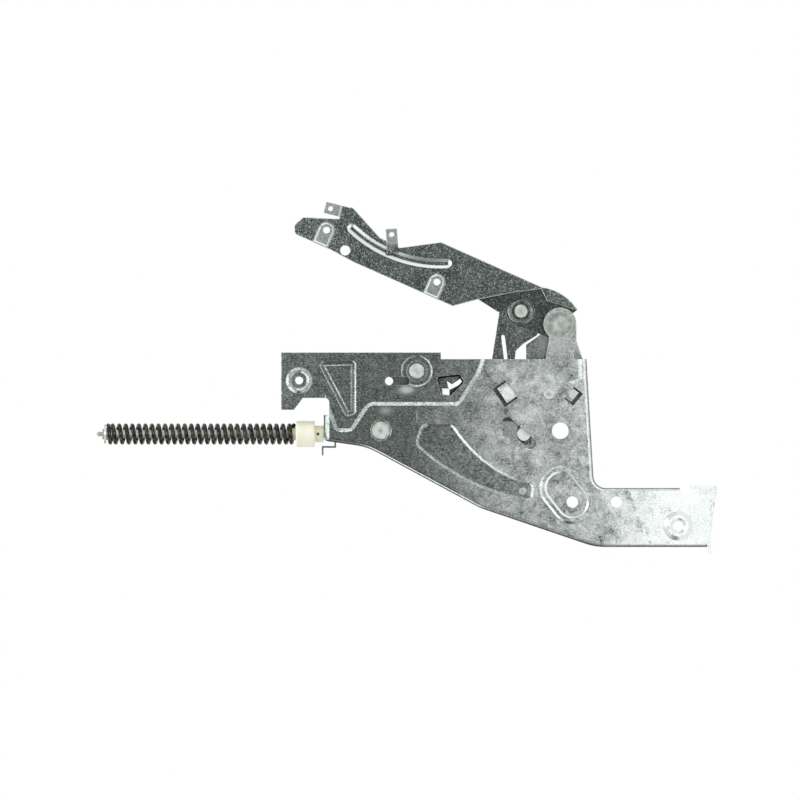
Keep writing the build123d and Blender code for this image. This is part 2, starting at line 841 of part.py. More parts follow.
def lift_link():
    """Wide lever from the arm's rivet down to the crank, with a long slit."""
    shape = outline(
        (link_top, arm_rivet[1]),
        (link_top, link_left_top),
        link_left_low,
        crank_pin,
        *link_right,
        arm_rivet,
    )
    shape += at(crank_pin, Circle(link_foot_r)) + at(arm_rivet, Circle(link_foot_r))
    link = sheet(shape, link_y, link_back)
    link -= sheet(slot(link_slit, link_slit_w), link_y, link_back)
    link -= disc(arm_rivet, pin_r + fit, link_y, link_back)
    return link - disc(crank_pin, pin_r + fit, link_y, link_back)


# Crank and strap

def spring_crank():
    crank_back = crank_y + crank_t
    hub = at(crank_pivot, Circle(crank_hub_r))
    shape = tangent_hull(hub, at(crank_pin, Circle(crank_end_r)))
    shape += tangent_hull(hub, at(yoke_pin, Circle(crank_yoke_r)))
    crank = sheet(shape, crank_y, crank_back)
    crank -= disc(crank_pivot, stud_r + fit, crank_y, crank_back)
    crank -= disc(crank_pin, pin_r + fit, crank_y, crank_back)
    return crank - disc(yoke_pin, yoke_pin_r + fit, crank_y, crank_back)


def crank_link_pin():
    steps = [
        (pin_r, crank_y, link_back + run_gap),
        (pin_head_r, link_back + run_gap, link_back + run_gap + pin_head_t),
    ]
    return turned(crank_pin, steps)


def crank_yoke_pin():
    front = strap_y - run_gap
    head = (yoke_head_r, front - yoke_head_t, front)
    return turned(yoke_pin, [head, (yoke_pin_r, front, crank_y + crank_t)])


def yoke_bush():
    ring = Circle(yoke_bush_r) - Circle(yoke_pin_r + fit)
    return sheet(at(yoke_pin, ring), strap_y - run_gap, crank_y)


def yoke_travel():
    """How far the yoke pin strays from the strap along Z, and its span along X, over the door's swing."""
    steps = range(-round(closed_deg), round(open_deg) + 1)
    strays = []
    fronts = []
    for step in steps:
        point = polar(crank_pivot, yoke_arm, yoke_arm_deg + step)
        strays.append(point[1] - yoke_pin[1] + yoke_rate * radians(step))
        fronts.append(point[0])
    return min(strays), max(strays), min(fronts), max(fronts)


def tie_strap():
    """Flat strap with a cross slot for the crank, a long guide slot and the rod's rivet hole."""
    low_stray, high_stray, back_x, front_x = yoke_travel()
    play = yoke_bush_r + run_gap
    slot_low = yoke_pin[1] + low_stray - play
    slot_high = yoke_pin[1] + high_stray + play
    slot_back = back_x - play
    slot_front = front_x + play
    yoke = outline(
        (slot_back - yoke_wall, slot_low - yoke_wall),
        (slot_front + yoke_wall, slot_low - yoke_wall),
        (slot_front + yoke_wall, slot_high + yoke_wall),
        (slot_back - yoke_wall, slot_high + yoke_wall),
    )
    yoke = rounded(yoke, yoke_wall)
    gap = outline(
        (slot_back, slot_low),
        (slot_front, slot_low),
        (slot_front, slot_high),
        (slot_back, slot_high),
    )
    x, z = guide_at
    guide = ((x, z - strap_up - guide_play), (x, z + strap_down + guide_play))
    body = outline(
        (x - strap_w / 2, slot_high),
        (x + strap_w / 2, slot_high),
        (x + strap_w / 2, strap_rivet_z - strap_end_r),
        (rod_x + strap_end_r, strap_rivet_z),
        (rod_x - strap_end_r, strap_rivet_z),
        (x - strap_w / 2, strap_rivet_z - strap_end_r),
    )
    shape = yoke + body + at((rod_x, strap_rivet_z), Circle(strap_end_r))
    shape -= gap
    shape -= slot(guide, 2 * (guide_r + run_gap))
    shape -= at((rod_x, strap_rivet_z), Circle(strap_rivet_r + fit))
    return sheet(shape, strap_y, strap_back)


def strap_rivet():
    back = strap_back + rod_tongue_t
    point = (rod_x, strap_rivet_z)
    return turned(point, [(strap_rivet_r, strap_y, back), (strap_rivet_head_r, back, back + pin_head_t)])


# Spring, rod and bush

def upright(radius, z_low, z_high):
    return Pos(rod_x, rod_y, (z_low + z_high) / 2) * Cylinder(radius, z_high - z_low)


def spring_rod():
    """Round rod with a flat riveted tongue below and a peened end with a nub above."""
    retainer_top = spring_top + retainer_t
    rod = upright(rod_r, rod_low, retainer_top)
    rod += upright(rod_peen_r, retainer_top, retainer_top + rod_peen_t)
    rod += upright(rod_nub_neck_r, retainer_top, rod_nub_z)
    rod += Pos(rod_x, rod_y, rod_nub_z) * Sphere(rod_nub_r)
    point = (rod_x, strap_rivet_z)
    shape = at(point, Circle(rod_tongue_r)) + outline(
        (rod_x - rod_tongue_half, strap_rivet_z),
        (rod_x + rod_tongue_half, strap_rivet_z),
        (rod_x + rod_r, rod_low + rod_r),
        (rod_x - rod_r, rod_low + rod_r),
    )
    rod += sheet(shape, strap_back, strap_back + rod_tongue_t)
    return rod - disc(point, strap_rivet_r + fit, strap_back, strap_back + rod_tongue_t)


def spring_bush():
    """Turned nylon bush: neck on the seat, wide body, and a spigot inside the spring."""
    bush = upright(bush_neck_r, seat_z, bush_neck_z)
    bush += upright(bush_r, bush_neck_z, bush_top)
    bush += upright(bush_spigot_r, bush_top, bush_top + bush_spigot)
    bush -= upright(rod_r + rod_play, seat_z, bush_top + bush_spigot)
    dot = Rot(90, 0, 0) * Cylinder(bush_dot_r, bush_neck_r - rod_r)
    bush -= Pos(rod_x, rod_y - bush_neck_r, bush_dot_z) * dot
    rims = bush.edges().filter_by(GeomType.CIRCLE).filter_by(lambda edge: abs(edge.radius - bush_r) < fit)
    return fillet(rims, bush_dot_r)


def spring_retainer():
    cap = upright(retainer_r, spring_top, spring_top + retainer_t)
    cap += upright(retainer_hub_r, spring_top - retainer_hub, spring_top)
    return cap - upright(rod_r + fit, spring_top - retainer_hub, spring_top + retainer_t)


def balance_spring():
    """Right-hand compression spring with one closed coil at each end."""
    radius = (spring_od - wire_d) / 2
    low = bush_top + wire_d / 2 + coil_gap
    high = spring_top - wire_d / 2 - coil_gap
    closed = end_coils * (wire_d + coil_gap)
    active = high - low - 2 * closed
    pieces = [
        Helix(closed / end_coils, closed, radius, center=(rod_x, rod_y, low)),
        Helix(active / active_coils, active, radius, center=(rod_x, rod_y, low + closed)),
        Helix(closed / end_coils, closed, radius, center=(rod_x, rod_y, high - closed)),
    ]
    path = Wire(pieces)
    section = Plane(origin=path @ 0, z_dir=path % 0) * Circle(wire_d / 2)
    return sweep(section, path=path, is_frenet=True)


os.makedirs("parts", exist_ok=True)
save(front_side_plate(), "front_side_plate")
save(rear_side_plate(), "rear_side_plate")
save(main_pivot_pin(), "main_pivot_pin")
save(pivot_washers(), "pivot_washers")
save(spacer_rivet(upper_spacer, 0, spacer_end_r), "upper_spacer_rivet")
save(spacer_rivet(lower_spacer, tear_depth, spacer_tail_r), "lower_spacer_rivet")
ring_floor = panel_depth + 2 * ring_depth
save(headed_rivet(head_rivet_at, ring_floor, head_rivet_r, 2 * ring_depth, head_rivet_spacer_r), "head_rivet")
save(headed_rivet(guide_at, guide_head_t, guide_head_r, guide_head_t, guide_r), "strap_guide_rivet")
save(crank_stud(), "crank_stud")
save(spring_bush(), "spring_bush")
save(door_arm(), "door_arm")
save(arm_sleeve(), "arm_sleeve")
save(link_rivet(), "link_rivet")
save(lift_link(), "lift_link")
save(spring_crank(), "spring_crank")
save(crank_link_pin(), "crank_link_pin")
save(crank_yoke_pin(), "crank_yoke_pin")
save(yoke_bush(), "yoke_bush")
save(tie_strap(), "tie_strap")
save(strap_rivet(), "strap_rivet")
save(spring_rod(), "spring_rod")
save(spring_retainer(), "spring_retainer")
save(balance_spring(), "balance_spring")
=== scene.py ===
import bpy
import bmesh
import math
from mathutils import Matrix, Vector


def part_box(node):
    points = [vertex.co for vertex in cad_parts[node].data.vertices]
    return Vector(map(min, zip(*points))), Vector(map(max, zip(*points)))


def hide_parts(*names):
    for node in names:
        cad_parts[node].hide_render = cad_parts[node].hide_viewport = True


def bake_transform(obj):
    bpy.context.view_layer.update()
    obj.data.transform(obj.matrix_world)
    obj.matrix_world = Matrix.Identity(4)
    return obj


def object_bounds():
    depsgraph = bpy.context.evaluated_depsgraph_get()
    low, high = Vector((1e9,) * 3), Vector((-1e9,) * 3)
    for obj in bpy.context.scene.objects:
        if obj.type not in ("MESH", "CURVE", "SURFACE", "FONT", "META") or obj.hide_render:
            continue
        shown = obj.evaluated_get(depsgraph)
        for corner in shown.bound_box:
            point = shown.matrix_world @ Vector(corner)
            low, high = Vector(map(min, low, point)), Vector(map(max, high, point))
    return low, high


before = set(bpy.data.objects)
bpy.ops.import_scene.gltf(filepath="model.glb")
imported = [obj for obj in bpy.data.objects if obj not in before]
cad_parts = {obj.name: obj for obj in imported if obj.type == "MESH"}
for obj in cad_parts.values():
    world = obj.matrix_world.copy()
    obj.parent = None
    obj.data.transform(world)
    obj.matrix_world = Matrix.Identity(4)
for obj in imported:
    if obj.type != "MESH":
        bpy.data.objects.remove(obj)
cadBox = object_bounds()
print("frame loaded:", len(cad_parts), "nodes")


def linear(hexColour):
    # sRGB hex to the linear values that the shaders use
    channels = [int(hexColour[i:i + 2], 16) / 255 for i in (1, 3, 5)]
    return [c / 12.92 if c <= 0.04045 else ((c + 0.055) / 1.055) ** 2.4 for c in channels] + [1.0]


def perMm(size):
    # texture scale, in repeats per metre, for a feature of this many millimetres
    return 1000 / size


def addNode(tree, kind, settings=None, links=None):
    # sockets go by name or number: a Map Range has the value, its two ends and the two results,
    # and a colour mix has the share and the two colours
    node = tree.nodes.new(kind)
    for key, value in (settings or {}).items():
        if isinstance(key, str) and hasattr(node, key):
            setattr(node, key, value)
        else:
            node.inputs[key].default_value = value
    for key, source in (links or {}).items():
        tree.links.new(source, node.inputs[key])
    return node


def startMaterial(name):
    material = bpy.data.materials.new(name)
    material.use_nodes = True
    tree = material.node_tree
    tree.nodes.clear()
    shader = addNode(tree, "ShaderNodeBsdfPrincipled")
    addNode(tree, "ShaderNodeOutputMaterial", links={"Surface": shader.outputs["BSDF"]})
    place = addNode(tree, "ShaderNodeTexCoord").outputs["Object"]
    return material, tree, shader, place


# Painted light and shade on the zinc: a painted highlight along cut edges and on the drawn slopes,
# and a thin line of painted shade in each pressed corner
paintedLightAndShade = {
    # painted shade: a dark line in each pressed corner, where an occlusion mask finds one
    "paintedCornerShade": "#343b38", "cornerMm": 1.6, "cornerFrom": 0.95, "cornerTo": 0.72, "cornerShare": 0.75,
    # painted highlight: a pale colour along cut edges and, by which way the surface faces, on the slopes
    "colour": "#eef3f0", "edgeFrom": 0.985, "edgeTo": 0.8, "edgeShare": 0.85, "edgeDull": -0.75,
    "slopeFrom": 0.965, "slopeTo": 0.91,
    "steepShare": 0.16, "gentleShare": 0.9, "steepFrom": 0.85, "steepTo": 0.8,
    # where the outside of a fold takes its painted tone: shade on the plate, highlight on the arm and levers
    "foldFrom": 0.7, "foldTo": 0.6, "wallFrom": 0.15, "wallTo": 0.05,
}


def paintedLightShares(tree, edge):
    # how much painted light and shade each point takes: highlight on a cut rim and a drawn slope, a tone
    # outside a fold, shade in a pressed corner
    flat = addNode(tree, "ShaderNodeNewGeometry").outputs["Normal"]
    along = addNode(tree, "ShaderNodeVectorMath", {"operation": "DOT_PRODUCT"}, {0: edge, 1: flat})
    rim = addNode(tree, "ShaderNodeMapRange",
                  {1: paintedLightAndShade["edgeFrom"], 2: paintedLightAndShade["edgeTo"], 4: paintedLightAndShade["edgeShare"]},
                  {0: along.outputs["Value"]})
    across = addNode(tree, "ShaderNodeSeparateXYZ", links={0: flat})
    tilt = addNode(tree, "ShaderNodeMath", {"operation": "ABSOLUTE"}, {0: across.outputs["Y"]}).outputs[0]
    slope = addNode(tree, "ShaderNodeMapRange",
                    {1: paintedLightAndShade["slopeFrom"], 2: paintedLightAndShade["slopeTo"]}, {0: tilt})
    # painted slope highlight: a large share on gentle slopes, a small one on steep ones
    slopeHighlightShare = addNode(tree, "ShaderNodeMapRange",
                     {1: paintedLightAndShade["steepFrom"], 2: paintedLightAndShade["steepTo"],
                      3: paintedLightAndShade["gentleShare"], 4: paintedLightAndShade["steepShare"]}, {0: tilt})
    drawn = addNode(tree, "ShaderNodeMath", {"operation": "MULTIPLY"},
                    {0: slope.outputs[0], 1: slopeHighlightShare.outputs[0]})
    # the outside of a fold, found by which way it faces, for its painted tone
    turned = addNode(tree, "ShaderNodeMapRange",
                     {1: paintedLightAndShade["foldFrom"], 2: paintedLightAndShade["foldTo"]}, {0: tilt})
    wall = addNode(tree, "ShaderNodeMapRange",
                   {1: paintedLightAndShade["wallFrom"], 2: paintedLightAndShade["wallTo"], 3: 1.0, 4: 0.0}, {0: tilt})
    fold = addNode(tree, "ShaderNodeMath", {"operation": "MULTIPLY"},
                   {0: turned.outputs[0], 1: wall.outputs[0]})
    # painted shade in the pressed corners, from an occlusion mask
    hollow = addNode(tree, "ShaderNodeAmbientOcclusion",
                     {"samples": 8, "only_local": True, "Distance": paintedLightAndShade["cornerMm"] / 1000})
    corner = addNode(tree, "ShaderNodeMapRange",
                     {1: paintedLightAndShade["cornerFrom"], 2: paintedLightAndShade["cornerTo"], 4: paintedLightAndShade["cornerShare"]},
                     {0: hollow.outputs["AO"]})
    return {"rim": rim.outputs[0], "slope": slope.outputs[0], "drawn": drawn.outputs[0],
            "fold": fold.outputs[0], "corner": corner.outputs[0]}


def paintLightAndShade(tree, wearAndPaintedLight, look, colour):
    # base colour with painted highlights on the edges and slopes, and the outside of each fold painted in its
    # own tone
    share = addNode(tree, "ShaderNodeMath", {"operation": "MAXIMUM"}, {0: wearAndPaintedLight["rim"], 1: wearAndPaintedLight["drawn"]})
    bright = addNode(tree, "ShaderNodeMixRGB", {2: linear(paintedLightAndShade["colour"])},
                     {0: share.outputs[0], 1: colour})
    folded = addNode(tree, "ShaderNodeMath", {"operation": "MULTIPLY", 1: look["foldShare"]},
                     {0: wearAndPaintedLight["fold"]})
    skin = addNode(tree, "ShaderNodeMixRGB", {2: linear(look["fold"])},
                   {0: folded.outputs[0], 1: bright.outputs[0]})
    # painted shade laid over the colour in the corners
    shown = addNode(tree, "ShaderNodeMixRGB", {2: linear(paintedLightAndShade["paintedCornerShade"])},
                    {0: wearAndPaintedLight["corner"], 1: skin.outputs[0]})
    return shown.outputs[0]


def metalUnderPaintedLight(tree, wearAndPaintedLight, look):
    # less metallic where the edge highlight and the fold tone are painted, so that they show as plain colour
    rim = addNode(tree, "ShaderNodeMath", {"operation": "MULTIPLY_ADD", 1: paintedLightAndShade["edgeDull"], 2: 1.0},
                  {0: wearAndPaintedLight["rim"]})
    fold = addNode(tree, "ShaderNodeMath", {"operation": "MULTIPLY_ADD", 1: look["foldDull"], 2: 1.0},
                   {0: wearAndPaintedLight["fold"]})
    metal = addNode(tree, "ShaderNodeMath", {"operation": "MULTIPLY"},
                    {0: rim.outputs[0], 1: fold.outputs[0]})
    return metal.outputs[0]


middleNoise = 0.65    # a mark's rim stays in place where the noise has this level


def spotShare(tree, place, ragged, spot):
    # an oval mark on the sheet, its rim broken up by a noise
    scale = [1000 / r for r in spot["radii"]]
    offset = [-c / r for c, r in zip(spot["at"], spot["radii"])]
    own = addNode(tree, "ShaderNodeMapping",
                  {"Location": (offset[0], 0, offset[1]), "Scale": (scale[0], 0, scale[1])},
                  {"Vector": place})
    reach = addNode(tree, "ShaderNodeVectorMath", {"operation": "LENGTH"}, {0: own.outputs[0]})
    broken = addNode(tree, "ShaderNodeMath", {"operation": "MULTIPLY_ADD", 1: spot["ragged"]},
                     {0: ragged, 2: reach.outputs["Value"]})
    rim = 1 + spot["ragged"] * middleNoise
    share = addNode(tree, "ShaderNodeMapRange", {1: rim, 2: rim - spot["fade"], 4: spot["share"]},
                    {0: broken.outputs[0]})
    return share.outputs[0]


def addSpots(tree, place, ragged, spots, colour):
    for spot in spots:
        share = spotShare(tree, place, ragged, spot)
        marked = addNode(tree, "ShaderNodeMixRGB", {2: linear(spot["colour"])}, {0: share, 1: colour})
        colour = marked.outputs[0]
    return colour


# Hot-dip galvanised sheet: grey zinc with fine specks drawn out along the rolling direction,
# under a pale dull bloom in clouds, thin on the head and thick towards the foot, partly real bloom and partly
# painted light that whitens the foot end.
# The specks here and on the arm are coarser than the real ones, so that they show
plateZinc = {
    "dark": "#626d69", "light": "#d3dbd7", "speckMm": 0.95, "speckStretch": 0.75,
    "cloudMm": 17, "wispMm": 5, "wispInGrain": 0.35, "grainFrom": 0.55, "grainTo": 0.88,
    "bloomAndPaintedLight": "#f7f9f8", "bloomGrain": "#ccd3d0",
    "bloomFrom": 0.175, "bloomTo": 0.112, "bloomMost": 0.56,    # heights where it starts and is full, m
    "footFrom": 0.045, "footTo": 0.005, "footMore": 0.8,    # heights between which the foot gains more, painted light that whitens it, m
    "faceDepth": 0.0001, "pressDepth": 0.0010, "pressBloom": 0.35,    # pressed-in panels keep this share, painted shade that darkens them
    "lowFrom": 0.105, "lowTo": 0.085,    # heights below which they keep it all, m
    "wispInCloud": 0.6, "speckInCloud": 0.35,
    "patchFrom": 0.74, "patchTo": 1.2, "patchLeast": 0.12, "patchMost": 1.9,
    "slopeLoss": -0.9,    # drawn slopes lose nearly all of the bloom
    "roughBare": 0.24, "roughBloom": 0.4, "metalBloom": 0.55, "bump": 0.22, "bumpMm": 0.05, "edgeMm": 0.5,
    "fold": "#39413e", "foldShare": 0.7, "foldDull": 0.0,    # painted shade, dark and dull, outside each fold
    # white rust, and a painted highlight on the two flaps: centre up the front and up the machine, radii, in
    # mm
    "rustAndFlapHighlights": [
        {"at": (88.5, 176.5), "radii": (3.8, 6.8), "ragged": 2.6, "fade": 0.7, "share": 0.9},
        {"at": (75, 190), "radii": (4, 6), "ragged": 2.4, "fade": 0.9, "share": 0.5},
        {"at": (71.5, 169.7), "radii": (5.6, 0.7), "ragged": 0.9, "fade": 0.8, "share": 0.6},
        # painted highlight: the two flaps in full bloom
        {"at": (86.5, 110.5), "radii": (6, 5.5), "ragged": 0.4, "fade": 0.4, "share": 1.0},
        {"at": (85.5, 67.5), "radii": (4.6, 4.6), "ragged": 0.4, "fade": 0.4, "share": 1.0},
        {"at": (126, 79), "radii": (26, 17), "ragged": 0.8, "fade": 0.6, "share": 0.7},
    ],
    "spots": [    # spot weld, faint ring and a streak of painted shade on the fold
        {"at": (85.8, 83.9), "radii": (3.3, 3.3), "ragged": 0.3, "fade": 0.25,
         "share": 0.5, "colour": "#b9b89c"},
        {"at": (23.4, 100.7), "radii": (4.4, 4.4), "ragged": 0.3, "fade": 0.25,
         "share": 0.3, "colour": "#8b9695"},
        # painted shade: a dark streak on the flange's fold
        {"at": (58.2, 55.6), "radii": (7.6, 1.1), "ragged": 0.2, "fade": 0.25,
         "share": 0.85, "colour": "#4d5350"},
    ],
}


def galvanisedSheet(name, look):
    material, tree, shader, place = startMaterial(name)
    axes = addNode(tree, "ShaderNodeSeparateXYZ", links={0: place})
    drawn = addNode(tree, "ShaderNodeMapping", {"Scale": (1, 1, look["speckStretch"])}, {"Vector": place})
    speck = addNode(tree, "ShaderNodeTexNoise",
                    {"Scale": perMm(look["speckMm"]), "Detail": 3.0, "Roughness": 0.7},
                    {"Vector": drawn.outputs[0]})
    cloud = addNode(tree, "ShaderNodeTexNoise",
                    {"Scale": perMm(look["cloudMm"]), "Detail": 6.0, "Roughness": 0.6, "Distortion": 0.4},
                    {"Vector": place})
    wisp = addNode(tree, "ShaderNodeTexNoise",
                   {"Scale": perMm(look["wispMm"]), "Detail": 5.0, "Roughness": 0.65, "Distortion": 0.8},
                   {"Vector": place})

    # bare zinc: light specks on a dark ground
    grain = addNode(tree, "ShaderNodeMath", {"operation": "MULTIPLY_ADD", 1: look["wispInGrain"]},
                    {0: wisp.outputs["Fac"], 2: speck.outputs["Fac"]})
    grainShare = addNode(tree, "ShaderNodeMapRange", {1: look["grainFrom"], 2: look["grainTo"]},
                         {0: grain.outputs[0]})
    bare = addNode(tree, "ShaderNodeMixRGB", {1: linear(look["dark"]), 2: linear(look["light"])},
                   {0: grainShare.outputs[0]})

    # bloom, partly real and partly painted light: full towards the foot and whitening it, less on the
    # pressed-in panels above as painted shade
    height = addNode(tree, "ShaderNodeMapRange",
                     {1: look["bloomFrom"], 2: look["bloomTo"], 4: look["bloomMost"]}, {0: axes.outputs["Z"]})
    # painted light: the foot end gains more bloom and turns whiter
    foot = addNode(tree, "ShaderNodeMapRange",
                   {1: look["footFrom"], 2: look["footTo"], 4: look["footMore"]}, {0: axes.outputs["Z"]})
    heightShare = addNode(tree, "ShaderNodeMath", {"operation": "ADD"}, {0: height.outputs[0], 1: foot.outputs[0]})
    # painted shade: panels pressed in deeper than the face keep less bloom and stay darker
    level = addNode(tree, "ShaderNodeMapRange",
                    {1: look["pressDepth"], 2: look["faceDepth"], 3: look["pressBloom"]},
                    {0: axes.outputs["Y"]})
    low = addNode(tree, "ShaderNodeMapRange", {1: look["lowFrom"], 2: look["lowTo"]}, {0: axes.outputs["Z"]})
    kept = addNode(tree, "ShaderNodeMath", {"operation": "MAXIMUM"}, {0: level.outputs[0], 1: low.outputs[0]})
    zone = addNode(tree, "ShaderNodeMath", {"operation": "MULTIPLY"},
                   {0: heightShare.outputs[0], 1: kept.outputs[0]})
    patches = addNode(tree, "ShaderNodeMath", {"operation": "MULTIPLY_ADD", 1: look["wispInCloud"]},
                      {0: wisp.outputs["Fac"], 2: cloud.outputs["Fac"]})
    speckled = addNode(tree, "ShaderNodeMath", {"operation": "MULTIPLY_ADD", 1: look["speckInCloud"]},
                       {0: speck.outputs["Fac"], 2: patches.outputs[0]})
    patchShare = addNode(tree, "ShaderNodeMapRange",
                         {1: look["patchFrom"], 2: look["patchTo"],
                          3: look["patchLeast"], 4: look["patchMost"]},
                         {0: speckled.outputs[0]})
    grown = addNode(tree, "ShaderNodeMath", {"operation": "MULTIPLY", "use_clamp": True},
                    {0: zone.outputs[0], 1: patchShare.outputs[0]})
    edge = addNode(tree, "ShaderNodeBevel", {"samples": 4, "Radius": look["edgeMm"] / 1000})
    wearAndPaintedLight = paintedLightShares(tree, edge.outputs[0])
    held = addNode(tree, "ShaderNodeMath", {"operation": "MULTIPLY_ADD", 1: look["slopeLoss"], 2: 1.0},
                   {0: wearAndPaintedLight["slope"]})
    bloomAndPaintedLight = addNode(tree, "ShaderNodeMath", {"operation": "MULTIPLY"},
                    {0: grown.outputs[0], 1: held.outputs[0]})
    for spot in look["rustAndFlapHighlights"]:
        bloomAndPaintedLight = addNode(tree, "ShaderNodeMath", {"operation": "MAXIMUM"},
                        {0: bloomAndPaintedLight.outputs[0], 1: spotShare(tree, place, grain.outputs[0], spot)})
    powder = addNode(tree, "ShaderNodeMixRGB", {1: linear(look["bloomGrain"]), 2: linear(look["bloomAndPaintedLight"])},
                     {0: grainShare.outputs[0]})
    colour = addNode(tree, "ShaderNodeMixRGB",
                     links={0: bloomAndPaintedLight.outputs[0], 1: bare.outputs[0], 2: powder.outputs[0]})
    rough = addNode(tree, "ShaderNodeMapRange", {3: look["roughBare"], 4: look["roughBloom"]},
                    {0: bloomAndPaintedLight.outputs[0]})
    clean = addNode(tree, "ShaderNodeMapRange", {3: 1.0, 4: look["metalBloom"]}, {0: bloomAndPaintedLight.outputs[0]})
    metal = addNode(tree, "ShaderNodeMath", {"operation": "MULTIPLY"},
                    {0: clean.outputs[0], 1: metalUnderPaintedLight(tree, wearAndPaintedLight, look)})
    bump = addNode(tree, "ShaderNodeBump", {"Strength": look["bump"], "Distance": look["bumpMm"] / 1000},
                   {"Height": speckled.outputs[0], "Normal": edge.outputs[0]})
    marked = addSpots(tree, place, wisp.outputs["Fac"], look["spots"], colour.outputs[0])
    tree.links.new(paintLightAndShade(tree, wearAndPaintedLight, look, marked), shader.inputs["Base Color"])
    tree.links.new(metal.outputs[0], shader.inputs["Metallic"])
    tree.links.new(rough.outputs[0], shader.inputs["Roughness"])
    tree.links.new(bump.outputs[0], shader.inputs["Normal"])
    return material


# Zinc on the door arm and the levers: darker, with fine light and dark specks all over
armZinc = {
    "dark": "#5c6762", "middle": "#7f8b85", "light": "#e6eeea",
    "speckMm": 0.95, "speckFrom": 0.5, "speckTo": 0.68, "blotchMm": 18, "blotchFrom": 0.35, "blotchTo": 0.68,
    "rough": (0.22, 0.34), "roughFrom": 0.3, "roughTo": 0.7, "bump": 0.2, "bumpMm": 0.04, "edgeMm": 0.75,
    # painted highlight: the outside of each fold takes a pale tone and is less metallic
    "fold": "#eef3f0", "foldShare": 0.8, "foldDull": -0.7,
    "depths": [    # pads paler where they stand out furthest, and painted shade in the fold behind
        {"from": 0.0012, "to": 0.0005, "share": 0.8, "colour": "#dfe6e2"},
        # painted shade: zinc deeper than the wall, in the fold behind it, is darkened
        {"from": 0.0040, "to": 0.0076, "share": 0.5, "colour": "#3a423f"},
    ],
    "spots": [    # the two small tabs, paler than the arm, mm
        {"at": (207, 225), "radii": (5, 6), "ragged": 0.5, "fade": 0.5,
         "share": 0.5, "colour": "#e4eae6"},
        {"at": (187, 186.5), "radii": (7.5, 5.5), "ragged": 0.5, "fade": 0.5,
         "share": 0.6, "colour": "#e4eae6"},
    ],
}
# the levers and the strap keep a painted highlight on their folds, at a smaller share
leverZinc = {
    **armZinc, "dark": "#5a6460", "middle": "#7d8883", "light": "#d3dcd7", "blotchMm": 11, "bump": 0.18,
    "edgeMm": 0.5, "foldShare": 0.5, "foldDull": -0.5, "depths": [], "spots": [],
}
strapZinc = {
    **leverZinc, "dark": "#a9b3ae", "middle": "#c6cfca", "light": "#eef3f0", "blotchMm": 9,
    "rough": (0.25, 0.38),
}


def speckledZinc(name, look):
    material, tree, shader, place = startMaterial(name)
    speck = addNode(tree, "ShaderNodeTexNoise",
                    {"Scale": perMm(look["speckMm"]), "Detail": 3.0, "Roughness": 0.75}, {"Vector": place})
    blotch = addNode(tree, "ShaderNodeTexNoise",
                     {"Scale": perMm(look["blotchMm"]), "Detail": 4.0, "Roughness": 0.55}, {"Vector": place})
    patchShare = addNode(tree, "ShaderNodeMapRange", {1: look["blotchFrom"], 2: look["blotchTo"]},
                         {0: blotch.outputs["Fac"]})
    ground = addNode(tree, "ShaderNodeMixRGB", {1: linear(look["dark"]), 2: linear(look["middle"])},
                     {0: patchShare.outputs[0]})
    speckShare = addNode(tree, "ShaderNodeMapRange", {1: look["speckFrom"], 2: look["speckTo"]},
                         {0: speck.outputs["Fac"]})
    colour = addNode(tree, "ShaderNodeMixRGB", {2: linear(look["light"])},
                     {0: speckShare.outputs[0], 1: ground.outputs[0]})
    rough = addNode(tree, "ShaderNodeMapRange",
                    {1: look["roughFrom"], 2: look["roughTo"], 3: look["rough"][0], 4: look["rough"][1]},
                    {0: speck.outputs["Fac"]})
    edge = addNode(tree, "ShaderNodeBevel", {"samples": 4, "Radius": look["edgeMm"] / 1000})
    bump = addNode(tree, "ShaderNodeBump", {"Strength": look["bump"], "Distance": look["bumpMm"] / 1000},
                   {"Height": speck.outputs["Fac"], "Normal": edge.outputs[0]})
    wearAndPaintedLight = paintedLightShares(tree, edge.outputs[0])
    marked = colour.outputs[0]
    across = addNode(tree, "ShaderNodeSeparateXYZ", links={0: place})
    # tones by depth: paler raised pads, and painted shade in the arm's fold
    for depth in look["depths"]:
        share = addNode(tree, "ShaderNodeMapRange", {1: depth["from"], 2: depth["to"], 4: depth["share"]},
                        {0: across.outputs["Y"]})
        toned = addNode(tree, "ShaderNodeMixRGB", {2: linear(depth["colour"])},
                        {0: share.outputs[0], 1: marked})
        marked = toned.outputs[0]
    marked = addSpots(tree, place, speck.outputs["Fac"], look["spots"], marked)
    tree.links.new(paintLightAndShade(tree, wearAndPaintedLight, look, marked), shader.inputs["Base Color"])
    tree.links.new(metalUnderPaintedLight(tree, wearAndPaintedLight, look), shader.inputs["Metallic"])
    tree.links.new(rough.outputs[0], shader.inputs["Roughness"])
    tree.links.new(bump.outputs[0], shader.inputs["Normal"])
    return material


# Turned and riveted steel: pale zinc with faint rings round the pin's own axis and a few dull marks
pinSteel = {
    "dark": "#a9b3ac", "light": "#eaf0eb", "ringMm": 6.91, "ringShare": 0.3, "markMm": 3.5,
    "shadeFrom": 0.4, "shadeTo": 0.9,
    "rough": 0.4, "metal": 0.5, "bump": 0.14, "bumpMm": 0.03, "edgeMm": 0.3, "spots": [],
}
pivotSteel = {**pinSteel, "dark": "#89958d", "light": "#d2dad4"}
# a whitened, less metallic copy of the pin steel: partly the rod's pale plating, partly painted light that
# keeps it pale in the spring's shade
litRodSteel = {
    **pinSteel, "dark": "#e4eae6", "light": "#fafcfb", "metal": 0.2,
    "spots": [    # the staked tip past the spring is greyer, mm
        {"at": (59.8, 377.8), "radii": (9, 9), "ragged": 0.4, "fade": 0.3,
         "share": 1.0, "colour": "#a3ada6"},
    ],
}
# the yoke pin takes the whitened copy too: painted light on a pin in the shade of its slot
litYokeSteel = {**litRodSteel, "spots": []}
ringTurn = math.pi / 10    # a wave texture goes through 20 radians per unit, so this makes one ring of it


